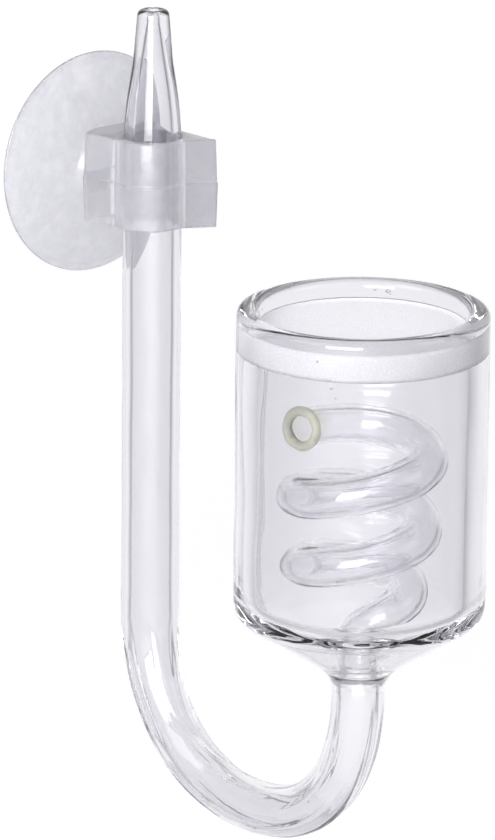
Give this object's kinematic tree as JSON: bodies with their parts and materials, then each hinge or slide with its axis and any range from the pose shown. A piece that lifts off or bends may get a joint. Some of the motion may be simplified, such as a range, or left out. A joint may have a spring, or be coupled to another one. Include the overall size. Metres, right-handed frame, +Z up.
{
  "type": "carbon dioxide diffuser",
  "caption": "Glass carbon dioxide diffuser: hose nozzle, stem, return bend and a coned cup with a spiral tube under a sintered disc, held on glass by a suction cup with a stem clip.",
  "frame": {"origin": "centre of the suction cup's lip, on the plane of the aquarium wall", "axes": "+Z up along the stem, +Y into the aquarium wall, +X to the right when facing the wall; the stem's and the cup's axes lie in the plane x = 0"},
  "size_m": [0.04, 0.0875, 0.1317],
  "materials": {
    "clear_glass": "fire-polished clear borosilicate glass",
    "sintered_disc": "matt white, fine sintered grain",
    "clear_pvc": "soft clear PVC, satin, faintly cloudy"
  },
  "bodies": {
    "holder": {"suction_cup": "clear_pvc", "tube_clip": "clear_pvc"},
    "glassware": {"inlet_nozzle": "clear_glass", "stem_tube": "clear_glass", "return_bend": "clear_glass", "cup_base": "clear_glass", "cup_wall": "clear_glass", "spiral_tube": "clear_glass", "diffuser_disc": "sintered_disc"}
  },
  "joints": [
    {"name": "stem_slide", "type": "slide", "parent": "holder", "child": "glassware", "axis": [0, 0, 1], "range_m": [0, 0.06]}
  ]
}
